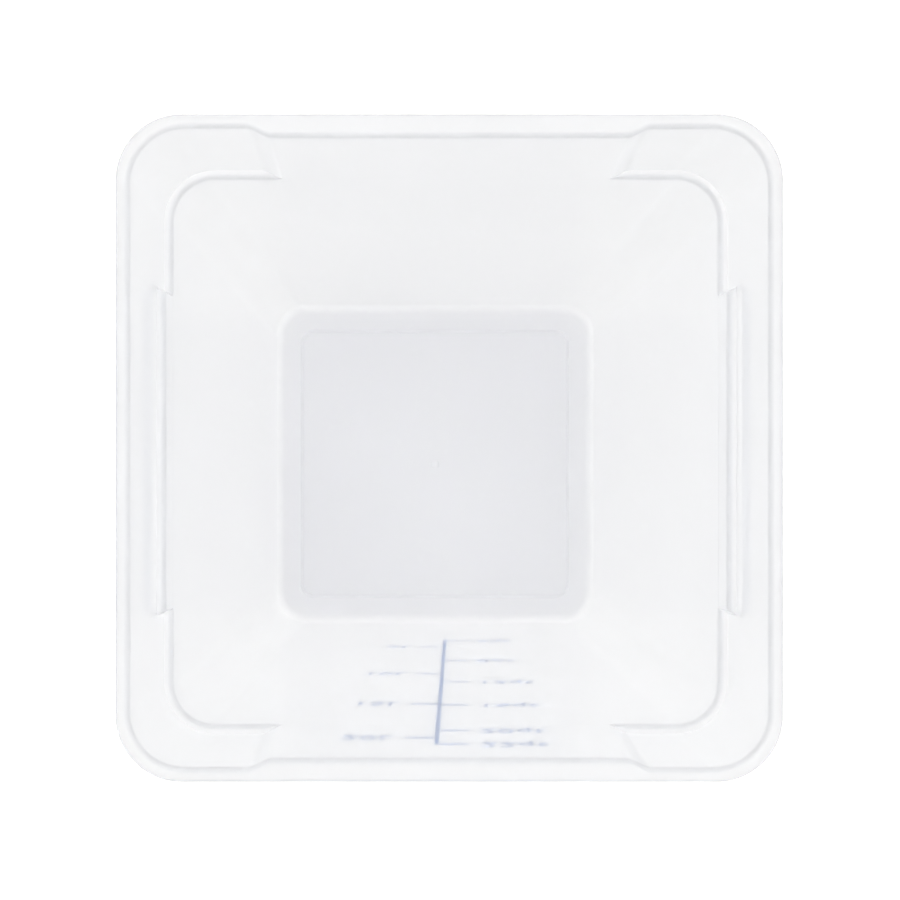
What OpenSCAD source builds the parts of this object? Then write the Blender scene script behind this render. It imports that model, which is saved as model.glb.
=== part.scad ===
// Tall square food tub for proofing dough: one thin-walled moulding that tapers to its
// foot, with corner shoulders and two grips under the rim, and a volume scale printed
// on the outside of its front wall.
// Millimetres. X runs between the two grips, the printed wall faces -Y, +Z is up, and
// the origin is the middle of the foot.

/* [Rim] */
// Width across the rim flange, the same both ways
rim_w = 286; // [270:1:320]
// Corner radius of the rim flange
rim_r = 28.5; // [24:0.5:32]
// Width of the flange over the shoulders, from its edge to the inner wall
land_w = 5.9; // [4.5:0.1:8]
// Thickness of the flange
flange_t = 4; // [3:0.25:6]
// Rounding where the flange turns down into the tub
lip_r = 2.4; // [1:0.1:2.8]
// Rounding of the flange's outer edges
edge_r = 1.2; // [0.5:0.1:1.4]

/* [Body] */
// Height from the foot to the top of the rim
height = 400; // [320:1:440]
// Thickness of the walls
wall = 3; // [2:0.25:4]
// Thickness of the floor
floor_t = 3; // [2:0.25:5]
// Draft angle of each wall
draft = 3.65; // [1:0.05:4.5]
// Inner corner radius of the body below the shoulders
body_r = 20; // [16:0.5:23]
// Inner radius between the walls and the floor
floor_r = 5.5; // [4:0.5:9]

/* [Shoulders] */
// How far the shoulders and grips stand out from the body
step = 4; // [2:0.25:6]
// Depth of the four corner ledges below the rim
corner_depth = 68; // [60:1:90]
// Width of the flat front and back panels between the corner shoulders
panel_w = 152; // [130:1:170]
// Run of the curve from a panel out to a shoulder
blend_run = 11; // [6:0.5:14]
// Rounding of each ledge's inner edge
ledge_r = 2.4; // [1:0.1:3]

/* [Grips] */
// Depth of the two grip ledges below the rim
grip_depth = 52; // [40:1:55]
// Length of each grip
grip_w = 147; // [110:1:165]
// Run of the wall at each end of a grip
grip_end = 2.5; // [1:0.5:4]
// Reach of the finger lip past the grip's wall
lip_reach = 5; // [2:0.25:7]
// Height of the finger lip's edge
lip_h = 5; // [3:0.5:8]
// Run of the slope above the finger lip
lip_slope = 7; // [3:0.5:12]

/* [Foot] */
// Width of the ring that the tub stands on, from the walls' outside
foot_w = 19; // [14:0.5:26]
// Height of the recess inside the standing ring
foot_recess = 2; // [1:0.25:4]
// Corner radius of the recess
recess_r = 9; // [6:0.5:14]
// Outer rounding of the foot
foot_r = 5; // [3:0.5:8]
// Radius of the mark that the moulding gate leaves
gate_r = 3; // [2:0.5:5]
// Height of the gate mark under the floor
gate_h = 1; // [0.5:0.1:1.5]

/* [Printed scale] */
// Highest quart mark
top_quart = 22; // [10:2:22]
// Quarts from one mark to the next
quart_step = 4; // [2:1:10]
// Highest litre mark
top_litre = 20; // [5:5:20]
// Litres from one mark to the next
litre_step = 5; // [5:5:10]
// Width of the printed lines
line_w = 2; // [1:0.25:3]
// Length of the quart ticks from the middle of the spine
quart_tick = 14.5; // [8:0.5:20]
// Length of the litre ticks from the middle of the spine
litre_tick = 14.5; // [8:0.5:20]
// Least depth of a mark below the rim: a volume that comes higher has no mark
headroom = 14; // [8:1:24]
// Length of the spine below the lowest quart mark
spine_tail = 4; // [0:0.5:15]
// Angle by which the print leans on the wall
print_lean = 2; // [0:0.1:4]
// Thickness of the ink
ink_t = 0.2; // [0.1:0.05:0.4]
// Clearance between the ink and the wall
ink_gap = 0.05; // [0.02:0.01:0.2]

/* [Hidden] */

// Litres in a quart, and cubic millimetres in a litre
litres_per_quart = 0.946353;
mm3_per_litre = 1e6;

// Segments of each quarter turn of a corner, and of each small rounding
corner_n = 10;
round_n = 3;
// Segments of the curve between a panel and a shoulder
blend_n = 6;
// Least gap between a side's last mark and its corner
mark_gap = 1;

taper = tan(draft);
half_rim = rim_w / 2;
// Half the inside width of the body's taper, carried up to the rim
half_top = half_rim - land_w - step;
inner_depth = height - floor_t;
wall_out = wall / cos(draft);
foot_half = half_top - height * taper + wall_out;
foot_corner = body_r + wall_out;

function body_half(depth) = half_top - depth * taper;
function ease(s) = s * s * (3 - 2 * s);

// The places along each side where its form changes, one half of the side
panel_marks = [for (i = [0:blend_n]) panel_w / 2 + blend_run * i / blend_n];
grip_marks = [grip_w / 2, grip_w / 2 + grip_end];

// How far a point of a side stands out: shoulder is the offset at the corners and grip
// the offset between them
function panel_out(i, shoulder) = shoulder * ease(i / blend_n);
function grip_out(i, shoulder, grip) = i == 0 ? grip : shoulder;

// Turns a point of the +X side round to side k
function turned(p, k) =
    k == 0 ? [p[0], p[1]] : k == 1 ? [-p[1], p[0]] : k == 2 ? [-p[0], -p[1]] : [p[1], -p[0]];

// The points of side k and of the corner after it. marks are the places along the side
// and outs how far each stands out from half. On an outline too small for the marks they
// draw together, so that they stay between its corners.
function side_points(k, half, radius, marks, outs) = let (
    edge = half - radius,
    n = len(marks) - 1,
    draw_in = min(1, edge / (marks[n] + mark_gap))
)
    [for (p = concat(
        [for (i = [n:-1:0]) [half + outs[i], -marks[i] * draw_in]],
        [for (i = [0:n]) [half + outs[i], marks[i] * draw_in]],
        [for (i = [0:corner_n])
            let (a = 90 * i / corner_n, r = radius + outs[n]) [edge + r * cos(a), edge + r * sin(a)]]
    )) turned(p, k)];

// A closed outline of the wall at one depth. A station holds the depth, how far the
// corners and the grips stand out, and how far the whole outline grows.
function outline(depth, shoulder, grip, grow) = let (
    half = body_half(depth) + grow,
    radius = body_r + grow,
    panel = [for (i = [0:blend_n]) panel_out(i, shoulder)],
    handle = [for (i = [0:1]) grip_out(i, shoulder, grip)]
) concat(
    side_points(0, half, radius, grip_marks, handle),
    side_points(1, half, radius, panel_marks, panel),
    side_points(2, half, radius, grip_marks, handle),
    side_points(3, half, radius, panel_marks, panel));

// The same points on a plain rounded square
function plain(half, radius) = let (
    panel = [for (i = [0:blend_n]) 0],
    handle = [0, 0]
) concat(
    side_points(0, half, radius, grip_marks, handle),
    side_points(1, half, radius, panel_marks, panel),
    side_points(2, half, radius, grip_marks, handle),
    side_points(3, half, radius, panel_marks, panel));

function at_height(points, z) = [for (p = points) [p[0], p[1], z]];
function wall_ring(depth, shoulder, grip, grow = 0) =
    at_height(outline(depth, shoulder, grip, grow), height - depth);
function plain_ring(half, radius, z) = at_height(plain(half, radius), z);

// Angles of the small roundings
turn = [for (i = [0:round_n]) 90 * i / round_n];

// The outside, from the middle of the foot up to the flange
recess_half = foot_half - foot_w;
under_corner = corner_depth + wall;
under_grip = grip_depth + wall;
outer_rings = concat(
    [plain_ring(recess_half - foot_recess, recess_r - foot_recess, foot_recess)],
    [plain_ring(recess_half, recess_r, 0)],
    [for (a = turn) plain_ring(
        foot_half - foot_r * (1 - sin(a)), foot_corner - foot_r * (1 - sin(a)), foot_r * (1 - cos(a)))],
    [wall_ring(under_corner, 0, 0, wall_out)],
    [wall_ring(under_corner, step - edge_r, 0, wall_out)],
    [wall_ring(under_corner - edge_r, step, 0, wall_out)],
    [wall_ring(under_grip, step, 0, wall_out)],
    [wall_ring(under_grip, step, step + lip_reach - edge_r, wall_out)],
    [wall_ring(under_grip - edge_r, step, step + lip_reach, wall_out)],
    [wall_ring(under_grip - lip_h, step, step + lip_reach, wall_out)],
    [wall_ring(under_grip - lip_h - lip_slope, step, step, wall_out)],
    [wall_ring(flange_t, step, step, wall_out)]);

// The flange, from its underside over its edge to its top
flange_rings = concat(
    [plain_ring(half_rim - edge_r, rim_r - edge_r, height - flange_t)],
    [plain_ring(half_rim, rim_r, height - flange_t + edge_r)],
    [for (a = turn) plain_ring(
        half_rim - edge_r * (1 - cos(a)), rim_r - edge_r * (1 - cos(a)), height - edge_r * (1 - sin(a)))]);

// The inside, from the flange down over the ledges to the raised floor
inner_rings = concat(
    [for (a = turn) wall_ring(lip_r * (1 - cos(a)), step, step, lip_r * (1 - sin(a)))],
    [wall_ring(grip_depth, step, step)],
    [for (a = turn) wall_ring(grip_depth + ledge_r * (1 - cos(a)), step, ledge_r * (1 - sin(a)))],
    [wall_ring(corner_depth, step, 0)],
    [for (a = turn) wall_ring(corner_depth + ledge_r * (1 - cos(a)), ledge_r * (1 - sin(a)), 0)],
    [for (a = turn) wall_ring(inner_depth - floor_r * (1 - sin(a)), 0, 0, -floor_r * (1 - cos(a)))],
    [plain_ring(recess_half, recess_r, floor_t)],
    [plain_ring(recess_half - foot_recess, recess_r - foot_recess, floor_t + foot_recess)]);

// Joins closed outlines of equal length, one to the next, and closes each end with
// triangles round its middle. Where two neighbouring outlines share a point, they use it
// once, and a face without area is left out.
module skin(rings) {
    n = len(rings[0]);
    m = len(rings);
    first_middle = m * n;
    last_middle = m * n + 1;
    points = concat(
        [for (ring = rings) for (p = ring) p],
        [[0, 0, rings[0][0][2]], [0, 0, rings[m - 1][0][2]]]);
    function id(j, i) = j > 0 && rings[j][i] == rings[j - 1][i] ? id(j - 1, i) : j * n + i;
    function corners(f) = [for (i = [0:len(f) - 1]) if (f[i] != f[(i + 1) % len(f)]) f[i]];
    sides = [for (j = [0:m - 2]) for (i = [0:n - 1])
        let (k = (i + 1) % n, f = corners([id(j, i), id(j + 1, i), id(j + 1, k), id(j, k)]))
            if (len(f) > 2) f];
    first_cap = [for (i = [0:n - 1]) [i, (i + 1) % n, first_middle]];
    last_cap = [for (i = [0:n - 1]) [(m - 1) * n + (i + 1) % n, (m - 1) * n + i, last_middle]];
    polyhedron(points, concat(first_cap, sides, last_cap), convexity = 6);
}

module container_body() {
    color([0.93, 0.94, 0.96, 0.8]) {
        skin(concat(outer_rings, flange_rings, inner_rings));
        translate([0, 0, foot_recess - gate_h]) cylinder(r = gate_r, h = gate_h + floor_t / 2, $fn = 32);
    }
}

// Fill height over the floor for a volume. The body is a tapered square with rounded
// corners, so the height comes from the volume of a tapered square and is corrected
// for the corners in a few passes.
corner_loss = (4 - PI) * body_r * body_r;
foot_inner = body_half(inner_depth);
function fill_height(volume, h = 0, passes = 8) = passes == 0 ? h :
    fill_height(volume, (pow(3 * taper * (volume + corner_loss * h) / 4 + pow(foot_inner, 3), 1 / 3)
        - foot_inner) / taper, passes - 1);
function mark_depth(litres) = inner_depth - fill_height(litres * mm3_per_litre);

// The marks' depths below the rim, the lowest mark first
quarts = concat([for (q = quart_step; q < top_quart; q = q + quart_step) q], [top_quart]);
litres = [for (l = [litre_step:litre_step:top_litre]) l];
function marks_inside(depths) = [for (depth = depths) if (depth > headroom) depth];
quart_marks = marks_inside([for (q = quarts) mark_depth(q * litres_per_quart)]);
litre_marks = marks_inside([for (l = litres) mark_depth(l)]);
low_depth = max(quart_marks);
top_depth = min(quart_marks);

// Puts a flat drawing on the outside of the front wall: x along the wall, y up the wall
// from the middle of the scale, z out of the wall
scale_middle = (top_depth + low_depth) / 2;
module on_front_wall() {
    translate([0, -body_half(scale_middle) - wall_out, height - scale_middle])
        rotate([90 + draft, 0, 0]) rotate([0, 0, print_lean]) translate([0, 0, ink_gap])
            linear_extrude(ink_t) children();
}
function up_wall(depth) = (scale_middle - depth) / cos(draft);

module quart_scale() {
    color([0.62, 0.7, 0.86]) on_front_wall() {
        spine_foot = up_wall(low_depth) - spine_tail;
        translate([-line_w / 2, spine_foot]) square([line_w, up_wall(top_depth) + line_w / 2 - spine_foot]);
        for (depth = quart_marks)
            translate([0, up_wall(depth) - line_w / 2]) square([quart_tick, line_w]);
    }
}

module litre_scale() {
    color([0.62, 0.7, 0.86]) on_front_wall() for (depth = litre_marks)
        translate([-litre_tick, up_wall(depth) - line_w / 2]) square([litre_tick - line_w / 2, line_w]);
}

container_body();
quart_scale();
litre_scale();
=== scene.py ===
"""Looks of a tall, square, milky food tub, seen from above into its open mouth.

Lengths are in millimetres until they reach a mesh, which is in metres.
"""

import math

import bmesh
import bpy
from mathutils import Matrix, Vector


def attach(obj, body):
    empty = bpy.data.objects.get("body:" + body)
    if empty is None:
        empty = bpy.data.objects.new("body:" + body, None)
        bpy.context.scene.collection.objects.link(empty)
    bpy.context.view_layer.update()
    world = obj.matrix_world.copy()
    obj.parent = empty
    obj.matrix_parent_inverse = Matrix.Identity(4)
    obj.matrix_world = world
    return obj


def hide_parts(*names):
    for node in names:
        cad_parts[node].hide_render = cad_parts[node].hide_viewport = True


MM = 0.001

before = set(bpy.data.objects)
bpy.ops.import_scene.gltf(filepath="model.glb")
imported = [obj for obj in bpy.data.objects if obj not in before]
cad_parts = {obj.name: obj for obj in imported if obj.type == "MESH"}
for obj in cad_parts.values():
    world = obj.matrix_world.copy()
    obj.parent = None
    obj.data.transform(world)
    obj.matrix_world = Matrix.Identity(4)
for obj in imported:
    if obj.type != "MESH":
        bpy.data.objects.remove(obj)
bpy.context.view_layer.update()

# Driving sizes of the tub, in millimetres, as the solids have them
HEIGHT = 400.0
HALF_RIM = 143.0
RIM_R = 28.5
LAND_W = 5.9
STEP = 4.0
WALL = 3.0
FLANGE_T = 4.0
LIP_R = 2.4
EDGE_R = 1.2
DRAFT = math.radians(3.65)
BODY_R = 20.0
FLOOR_T = 3.0
FLOOR_R = 5.5
CORNER_DEPTH = 68.0
GRIP_DEPTH = 52.0
PANEL_HALF = 76.0
BLEND_RUN = 11.0
GRIP_HALF = 73.5
GRIP_END = 2.5
LEDGE_R = 2.4
LIP_REACH = 5.0
LIP_H = 5.0
LIP_SLOPE = 7.0
FOOT_W = 19.0
FOOT_R = 5.0
FOOT_RECESS = 2.0
RECESS_R = 9.0
GATE_R = 3.0
GATE_H = 1.0
GATE_ROUND = 0.4
PIP_H = 0.35
PIP_SLOPE = 0.7

TAPER = math.tan(DRAFT)
HALF_TOP = HALF_RIM - LAND_W - STEP
WALL_OUT = WALL / math.cos(DRAFT)
INNER_DEPTH = HEIGHT - FLOOR_T
FOOT_HALF = HALF_TOP - HEIGHT * TAPER + WALL_OUT
FOOT_CORNER = BODY_R + WALL_OUT
RECESS_HALF = FOOT_HALF - FOOT_W

# The printed labels, each with its mark's depth below the rim, as on the solids
QUART_LABELS = {"4qt": 318.6, "8qt": 246.7, "12qt": 180.0, "16qt": 117.7, "20qt": 59.2, "22qt": 31.1}
LITRE_LABELS = {"5L": 294.9, "10L": 203.4, "15L": 120.0, "20L": 43.2}
PRINT_MIDDLE = (QUART_LABELS["22qt"] + QUART_LABELS["4qt"]) / 2
PRINT_LEAN = math.radians(2)
LABEL_GAP = 19.5
LABEL_SIZE = 13.5
LABEL_STRETCH = 1.12
INK_T = 0.2
INK_GAP = 0.05

# The plastic: MILKY is the share that scatters light. The colours are linear.
MILKY = 0.42
PLASTIC_IOR = 1.49
PLASTIC_ROUGHNESS = (0.004, 0.02)
MILK_LOW = (0.942, 0.951, 0.971)
MILK_HIGH = (0.953, 0.962, 0.982)
INK_DARK = (0.12, 0.27, 0.62)
INK_LIGHT = (0.18, 0.36, 0.7)
INK_ROUGHNESS = (0.4, 0.6)

# The studio: the sky's strength in front of the tub and behind it, and how much more of the
# floor's white each kind of ray sees
SKY_FRONT = 1.14
SKY_BACK = 0.88
FLOOR_SIZE = 12
FLOOR_BELOW = 0.0005
FLOOR_COLOUR = (0.965, 0.94, 0.9)
FLOOR_WHITE = 0.11
CAMERA_SHARE = 2.5
LIGHT_BOUNCES = 32

# How finely the round stretches are cut
CORNER_N = 24
BLEND_N = 14
GRIP_N = 4
ROUND_N = 6

# A ring this close to a round keeps the flat stretch beside it flat in its shading
HOLD = 1.0
SHARP_ANGLE = math.radians(24)
SAME_POINT = 1e-6


def ease(share):
    """A smooth step from 0 to 1."""
    return share * share * (3 - 2 * share)


def body_half(depth):
    """Half the inside width of the tapered body at a depth below the rim."""
    return HALF_TOP - depth * TAPER


PANEL_MARKS = [PANEL_HALF + BLEND_RUN * i / BLEND_N for i in range(BLEND_N + 1)]
GRIP_MARKS = [GRIP_HALF + GRIP_END * i / GRIP_N for i in range(GRIP_N + 1)]


def side(k, half, radius, marks, outs):
    """The points of side k and of the corner after it, counter-clockwise."""
    edge = half - radius
    draw_in = min(1.0, edge / (marks[-1] + 1.0))
    n = len(marks) - 1
    points = [(half + outs[i], -marks[i] * draw_in) for i in range(n, -1, -1)]
    points += [(half + outs[i], marks[i] * draw_in) for i in range(n + 1)]
    reach = radius + outs[n]
    for i in range(CORNER_N + 1):
        angle = math.pi / 2 * i / CORNER_N
        points.append((edge + reach * math.cos(angle), edge + reach * math.sin(angle)))
    turn = Matrix.Rotation(math.pi / 2 * k, 2)
    return [tuple(turn @ Vector(p)) for p in points]


def ring(z, half, radius, shoulder=0.0, grip=0.0):
    """A closed outline at height z. The corners stand out by shoulder, the grips by grip."""
    panel = [shoulder * ease(i / BLEND_N) for i in range(BLEND_N + 1)]
    handle = [grip + (shoulder - grip) * ease(i / GRIP_N) for i in range(GRIP_N + 1)]
    points = []
    for k in range(4):
        marks, outs = (GRIP_MARKS, handle) if k % 2 == 0 else (PANEL_MARKS, panel)
        points += side(k, half, radius, marks, outs)
    return [(x * MM, y * MM, z * MM) for x, y in points]


def spot(z, radius):
    """A small circle with as many points as a ring, for the gate mark."""
    points = []
    for x, y, height in ring(z, FOOT_HALF, FOOT_CORNER):
        shrink = radius * MM / math.hypot(x, y)
        points.append((x * shrink, y * shrink, height))
    return points


def wall_ring(depth, shoulder, grip, grow=0.0):
    """An outline of the tapered wall at a depth below the rim, grown by grow."""
    return ring(HEIGHT - depth, body_half(depth) + grow, BODY_R + grow, shoulder, grip)


def turns():
    """Sine and one minus cosine along a small quarter round."""
    angles = [math.pi / 2 * i / ROUND_N for i in range(ROUND_N + 1)]
    return [(math.sin(a), 1 - math.cos(a)) for a in angles]


def outside_rings():
    """From the gate mark under the floor up to the underside of the rim."""
    under_corner = CORNER_DEPTH + WALL
    under_grip = GRIP_DEPTH + WALL
    out = STEP + LIP_REACH
    gate_foot = FOOT_RECESS - GATE_H
    rings = [
        spot(gate_foot, GATE_R - GATE_ROUND),
        spot(gate_foot + GATE_ROUND, GATE_R),
        spot(FOOT_RECESS, GATE_R),
        spot(FOOT_RECESS, GATE_R + HOLD),
        ring(FOOT_RECESS, RECESS_HALF - 2 * FOOT_RECESS, RECESS_R - 2 * FOOT_RECESS),
        ring(FOOT_RECESS, RECESS_HALF - FOOT_RECESS, RECESS_R - FOOT_RECESS),
        ring(0, RECESS_HALF, RECESS_R),
        ring(0, RECESS_HALF + HOLD, RECESS_R + HOLD),
    ]
    for s, c in turns():
        inset = FOOT_R * (1 - s)
        rings.append(ring(FOOT_R * c, FOOT_HALF - inset, FOOT_CORNER - inset))
    rings.append(wall_ring(HEIGHT - FOOT_R - HOLD, 0, 0, WALL_OUT))
    rings.append(wall_ring(under_corner + HOLD, 0, 0, WALL_OUT))
    rings.append(wall_ring(under_corner, 0, 0, WALL_OUT))
    for s, c in turns():
        rings.append(wall_ring(under_corner - EDGE_R * c, STEP - EDGE_R * (1 - s), 0, WALL_OUT))
    rings.append(wall_ring(under_corner - EDGE_R - HOLD, STEP, 0, WALL_OUT))
    rings.append(wall_ring(under_grip, STEP, 0, WALL_OUT))
    for s, c in turns():
        rings.append(wall_ring(under_grip - EDGE_R * c, STEP, out - EDGE_R * (1 - s), WALL_OUT))
    rings.append(wall_ring(under_grip - LIP_H, STEP, out, WALL_OUT))
    rings.append(wall_ring(under_grip - LIP_H - LIP_SLOPE, STEP, STEP, WALL_OUT))
    rings.append(wall_ring(FLANGE_T, STEP, STEP, WALL_OUT))
    return rings


def flange_rings():
    """Round the rim's flat flange, from its underside to the start of the lip."""
    under = HEIGHT - FLANGE_T
    rings = []
    for s, c in turns():
        inset = EDGE_R * (1 - s)
        rings.append(ring(under + EDGE_R * c, HALF_RIM - inset, RIM_R - inset))
    for s, c in turns():
        inset = EDGE_R * c
        rings.append(ring(HEIGHT - EDGE_R * (1 - s), HALF_RIM - inset, RIM_R - inset))
    return rings


def inside_rings():
    """From the lip down the inside to the raised middle of the floor."""
    rings = [wall_ring(LIP_R * c, STEP, STEP, LIP_R * (1 - s)) for s, c in turns()]
    rings.append(wall_ring(LIP_R + HOLD, STEP, STEP))
    rings.append(wall_ring(GRIP_DEPTH - HOLD, STEP, STEP))
    rings.append(wall_ring(GRIP_DEPTH, STEP, STEP))
    rings += [wall_ring(GRIP_DEPTH + LEDGE_R * c, STEP, LEDGE_R * (1 - s)) for s, c in turns()]
    rings.append(wall_ring(GRIP_DEPTH + LEDGE_R + HOLD, STEP, 0))
    rings.append(wall_ring(CORNER_DEPTH - HOLD, STEP, 0))
    rings.append(wall_ring(CORNER_DEPTH, STEP, 0))
    rings += [wall_ring(CORNER_DEPTH + LEDGE_R * c, LEDGE_R * (1 - s), 0) for s, c in turns()]
    rings.append(wall_ring(CORNER_DEPTH + LEDGE_R + HOLD, 0, 0))
    rings.append(wall_ring(INNER_DEPTH - FLOOR_R - HOLD, 0, 0))
    rings += [wall_ring(INNER_DEPTH - FLOOR_R * (1 - s), 0, 0, -FLOOR_R * c) for s, c in turns()]
    rings.append(ring(FLOOR_T, RECESS_HALF + HOLD, RECESS_R + HOLD))
    rings.append(ring(FLOOR_T, RECESS_HALF, RECESS_R))
    top = FLOOR_T + FOOT_RECESS
    rings.append(ring(top, RECESS_HALF - FOOT_RECESS, RECESS_R - FOOT_RECESS))
    rings.append(ring(top, RECESS_HALF - 2 * FOOT_RECESS, RECESS_R - 2 * FOOT_RECESS))
    rings.append(spot(top, GATE_R + HOLD))
    rings.append(spot(top, GATE_R))
    rings.append(spot(top + PIP_H, GATE_R - PIP_SLOPE))
    rings.append(spot(top + PIP_H, GATE_R - 2 * PIP_SLOPE))
    return rings


def skin(name, rings):
    """A closed mesh through rings of equal length, with a fan at each end."""
    n = len(rings[0])
    verts = [p for r in rings for p in r]
    faces = []
    for j in range(len(rings) - 1):
        for i in range(n):
            k = (i + 1) % n
            faces.append((j * n + k, (j + 1) * n + k, (j + 1) * n + i, j * n + i))
    last = (len(rings) - 1) * n
    first_middle = len(verts)
    verts.append((0.0, 0.0, rings[0][0][2]))
    faces += [(first_middle, (i + 1) % n, i) for i in range(n)]
    last_middle = len(verts)
    verts.append((0.0, 0.0, rings[-1][0][2]))
    faces += [(last_middle, last + i, last + (i + 1) % n) for i in range(n)]
    mesh = bpy.data.meshes.new(name)
    mesh.from_pydata(verts, [], faces)
    for p in mesh.polygons:
        p.use_smooth = len(p.vertices) == 4
    # Rings meet where a ledge or a lip has run out
    joined = bmesh.new()
    joined.from_mesh(mesh)
    bmesh.ops.remove_doubles(joined, verts=joined.verts, dist=SAME_POINT)
    joined.to_mesh(mesh)
    joined.free()
    mesh.set_sharp_from_angle(angle=SHARP_ANGLE)
    return placed(name, mesh)


def placed(name, data):
    """A new object in the scene."""
    obj = bpy.data.objects.new(name, data)
    bpy.context.scene.collection.objects.link(obj)
    return obj


def new_material(name):
    """A material with no nodes yet but its output, and its tree."""
    material = bpy.data.materials.new(name)
    material.use_nodes = True
    tree = material.node_tree
    tree.nodes.clear()
    return material, tree, tree.nodes.new("ShaderNodeOutputMaterial")


def noise(tree, scale, detail):
    """Noise over the piece's own place."""
    place = tree.nodes.new("ShaderNodeTexCoord")
    node = tree.nodes.new("ShaderNodeTexNoise")
    node.inputs["Scale"].default_value = scale
    node.inputs["Detail"].default_value = detail
    tree.links.new(place.outputs["Object"], node.inputs["Vector"])
    return node.outputs["Fac"]


def tones(tree, value, stops):
    """A colour from a value, by two stops of a position and a colour."""
    node = tree.nodes.new("ShaderNodeValToRGB")
    for element, (position, colour) in zip(node.color_ramp.elements, stops):
        element.position = position
        element.color = (*colour, 1)
    tree.links.new(value, node.inputs["Fac"])
    return node.outputs["Color"]


def spread(tree, value, ends, start=0.0):
    """A value from start to 1 turned into one between two ends."""
    node = tree.nodes.new("ShaderNodeMapRange")
    node.inputs["From Min"].default_value = start
    node.inputs["To Min"].default_value = ends[0]
    node.inputs["To Max"].default_value = ends[1]
    tree.links.new(value, node.inputs["Value"])
    return node.outputs["Result"]


def milky_plastic():
    """Natural polypropylene: clear with a satin face, and clouded with milk that scatters light."""
    material, t, out = new_material("milky_plastic")
    clouds = noise(t, 9.0, 3.0)
    tint = tones(t, clouds, ((0.3, MILK_LOW), (0.7, MILK_HIGH)))
    bump = t.nodes.new("ShaderNodeBump")
    bump.inputs["Strength"].default_value = 0.04
    bump.inputs["Distance"].default_value = 0.0002
    clear = t.nodes.new("ShaderNodeBsdfPrincipled")
    clear.inputs["IOR"].default_value = PLASTIC_IOR
    clear.inputs["Transmission Weight"].default_value = 1.0
    milk = t.nodes.new("ShaderNodeBsdfTranslucent")
    mix = t.nodes.new("ShaderNodeMixShader")
    mix.inputs["Fac"].default_value = MILKY
    t.links.new(noise(t, 900.0, 2.0), bump.inputs["Height"])
    t.links.new(tint, clear.inputs["Base Color"])
    t.links.new(tint, milk.inputs["Color"])
    t.links.new(spread(t, clouds, PLASTIC_ROUGHNESS), clear.inputs["Roughness"])
    t.links.new(bump.outputs["Normal"], clear.inputs["Normal"])
    t.links.new(clear.outputs[0], mix.inputs[1])
    t.links.new(milk.outputs[0], mix.inputs[2])
    t.links.new(mix.outputs[0], out.inputs["Surface"])
    return material


def printing_ink():
    """Screen-printed blue ink, a little uneven where the screen left less of it."""
    material, t, out = new_material("printing_ink")
    ink = t.nodes.new("ShaderNodeBsdfPrincipled")
    mottle = noise(t, 350.0, 3.0)
    tone = tones(t, mottle, ((0.35, INK_DARK), (0.7, INK_LIGHT)))
    t.links.new(tone, ink.inputs["Base Color"])
    t.links.new(spread(t, mottle, INK_ROUGHNESS), ink.inputs["Roughness"])
    t.links.new(ink.outputs[0], out.inputs["Surface"])
    return material


tub = skin("tub", outside_rings() + flange_rings() + inside_rings())
tub.data.materials.append(milky_plastic())
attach(tub, "root")
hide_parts("container_body")
ink_material = printing_ink()
for name in ("quart_scale", "litre_scale"):
    for material_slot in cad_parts[name].material_slots:
        material_slot.link = "OBJECT"
        material_slot.material = ink_material


def word_mesh(word, align):
    """A word as a thin slab of ink, lying flat, from one end or the other."""
    curve = bpy.data.curves.new("word", "FONT")
    curve.body = word
    curve.size = LABEL_SIZE * MM
    curve.space_character = LABEL_STRETCH
    curve.align_x = align
    curve.align_y = "CENTER"
    curve.extrude = INK_T / 2 * MM
    maker = placed("word", curve)
    bpy.context.view_layer.update()
    mesh = bpy.data.meshes.new_from_object(maker)
    bpy.data.objects.remove(maker)
    bpy.data.curves.remove(curve)
    return mesh


def label_pieces(name, labels, align, start):
    """The words of one scale, on the outside of the front wall, read from outside."""
    on_wall = (
        Matrix.Translation((0, -(body_half(PRINT_MIDDLE) + WALL_OUT) * MM, (HEIGHT - PRINT_MIDDLE) * MM))
        @ Matrix.Rotation(math.pi / 2 + DRAFT, 4, "X")
        @ Matrix.Rotation(PRINT_LEAN, 4, "Z")
    )
    wide = Matrix.Scale(LABEL_STRETCH, 4, (1, 0, 0))
    out = INK_GAP + INK_T / 2
    verts = []
    faces = []
    for word, depth in labels.items():
        flat = word_mesh(word, align)
        up = (PRINT_MIDDLE - depth) / math.cos(DRAFT)
        seat = on_wall @ Matrix.Translation((start * MM, up * MM, out * MM)) @ wide
        first = len(verts)
        verts += [tuple(seat @ v.co) for v in flat.vertices]
        faces += [tuple(first + i for i in p.vertices) for p in flat.polygons]
    mesh = bpy.data.meshes.new(name)
    mesh.from_pydata(verts, [], faces)
    mesh.materials.append(ink_material)
    obj = placed(name, mesh)
    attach(obj, "root")


label_pieces("quart_numerals", QUART_LABELS, "LEFT", LABEL_GAP)
label_pieces("litre_numerals", LITRE_LABELS, "RIGHT", -LABEL_GAP)


def sums(tree, operation, first, second, third=None):
    """A sum on values, each a socket or a plain number."""
    node = tree.nodes.new("ShaderNodeMath")
    node.operation = operation
    for socket, value in zip(node.inputs, (first, second, third)):
        if isinstance(value, float):
            socket.default_value = value
        elif value is not None:
            tree.links.new(value, socket)
    return node.outputs[0]


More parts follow.
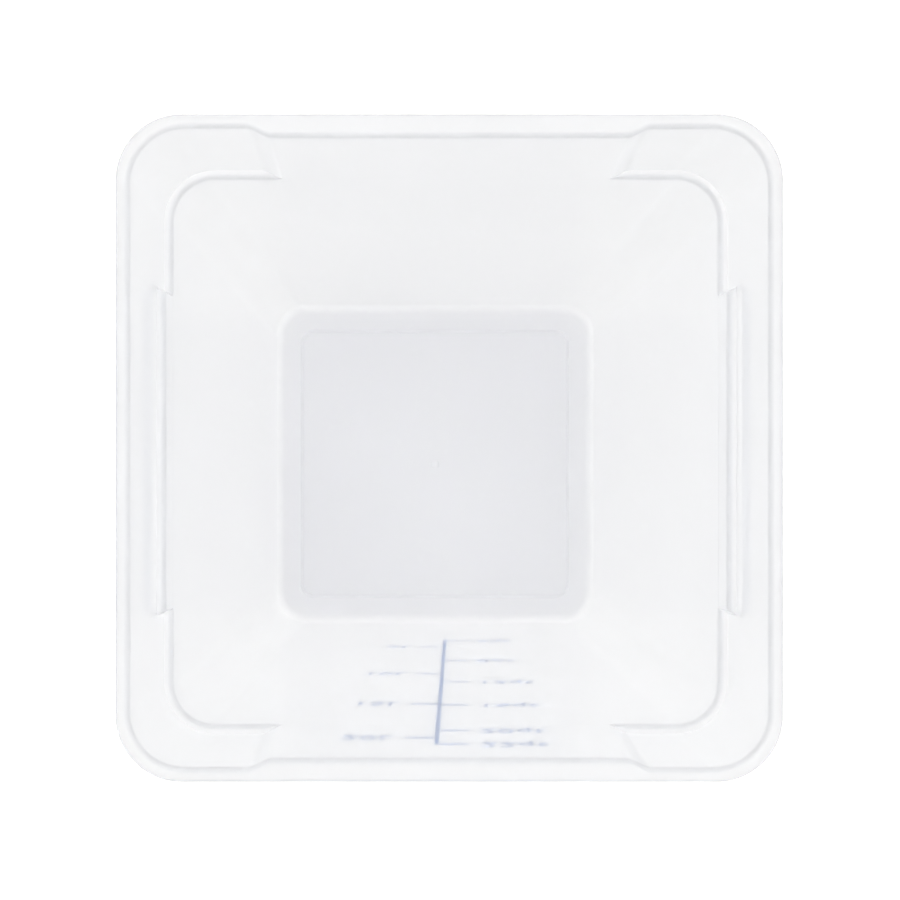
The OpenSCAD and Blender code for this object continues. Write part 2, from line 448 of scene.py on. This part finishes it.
def studio_floor():
    """A pale floor that keeps the tub's shadow, and that the camera sees as white."""
    bpy.ops.mesh.primitive_plane_add(size=FLOOR_SIZE, location=(0, 0, -FLOOR_BELOW))
    obj = bpy.context.object
    obj.name = "studio_floor"
    material, t, out = new_material("studio_floor")
    matt = t.nodes.new("ShaderNodeBsdfDiffuse")
    matt.inputs["Color"].default_value = (*FLOOR_COLOUR, 1)
    white = t.nodes.new("ShaderNodeEmission")
    both = t.nodes.new("ShaderNodeAddShader")
    ray = t.nodes.new("ShaderNodeLightPath").outputs
    seen = sums(t, "MULTIPLY_ADD", ray["Is Camera Ray"], CAMERA_SHARE, ray["Is Glossy Ray"])
    seen = sums(t, "ADD", seen, ray["Is Transmission Ray"])
    t.links.new(sums(t, "MULTIPLY", seen, FLOOR_WHITE), white.inputs["Strength"])
    t.links.new(matt.outputs[0], both.inputs[0])
    t.links.new(white.outputs[0], both.inputs[1])
    t.links.new(both.outputs[0], out.inputs["Surface"])
    obj.data.materials.append(material)


def studio_sky():
    """A soft white sky, a little brighter in front of the tub than behind it."""
    world = bpy.data.worlds.new("studio")
    world.use_nodes = True
    t = world.node_tree
    sky = t.nodes["Background"]
    sky.inputs["Color"].default_value = (1, 1, 1, 1)
    towards = t.nodes.new("ShaderNodeTexCoord")
    parts = t.nodes.new("ShaderNodeSeparateXYZ")
    t.links.new(towards.outputs["Generated"], parts.inputs[0])
    t.links.new(spread(t, parts.outputs["Y"], (SKY_FRONT, SKY_BACK), -1.0), sky.inputs["Strength"])
    bpy.context.scene.world = world


studio_floor()
studio_sky()

# The camera looks straight down. The photograph's plumb point lies off its middle, which
# the shift gives, in shares of the frame.
FRAME_PX = 900
SENSOR_MM = 36.0
PLUMB_PX = (411, 491)
RIM_MIDDLE_PX = (449.3, 448.0)
RIM_PX = 668.5
CAMERA_ABOVE_RIM = 665.0
px_per_mm = RIM_PX / (2 * HALF_RIM)
camera_data = bpy.data.cameras.new("camera")
camera = placed("camera", camera_data)
camera.location = (
    (PLUMB_PX[0] - RIM_MIDDLE_PX[0]) / px_per_mm * MM,
    (RIM_MIDDLE_PX[1] - PLUMB_PX[1]) / px_per_mm * MM,
    (HEIGHT + CAMERA_ABOVE_RIM) * MM,
)
camera_data.sensor_width = SENSOR_MM
camera_data.lens = SENSOR_MM * px_per_mm * CAMERA_ABOVE_RIM / FRAME_PX
camera_data.shift_x = (FRAME_PX / 2 - PLUMB_PX[0]) / FRAME_PX
camera_data.shift_y = (PLUMB_PX[1] - FRAME_PX / 2) / FRAME_PX
bpy.context.scene.camera = camera

bpy.context.scene.view_settings.view_transform = "Standard"

# Light passes the plastic many times before it leaves the tub, so its paths are long
light = bpy.context.scene.cycles
light.caustics_refractive = True
light.caustics_reflective = True
light.blur_glossy = 0.0
light.max_bounces = LIGHT_BOUNCES
light.diffuse_bounces = LIGHT_BOUNCES
light.glossy_bounces = LIGHT_BOUNCES
light.transmission_bounces = LIGHT_BOUNCES
light.transparent_max_bounces = LIGHT_BOUNCES
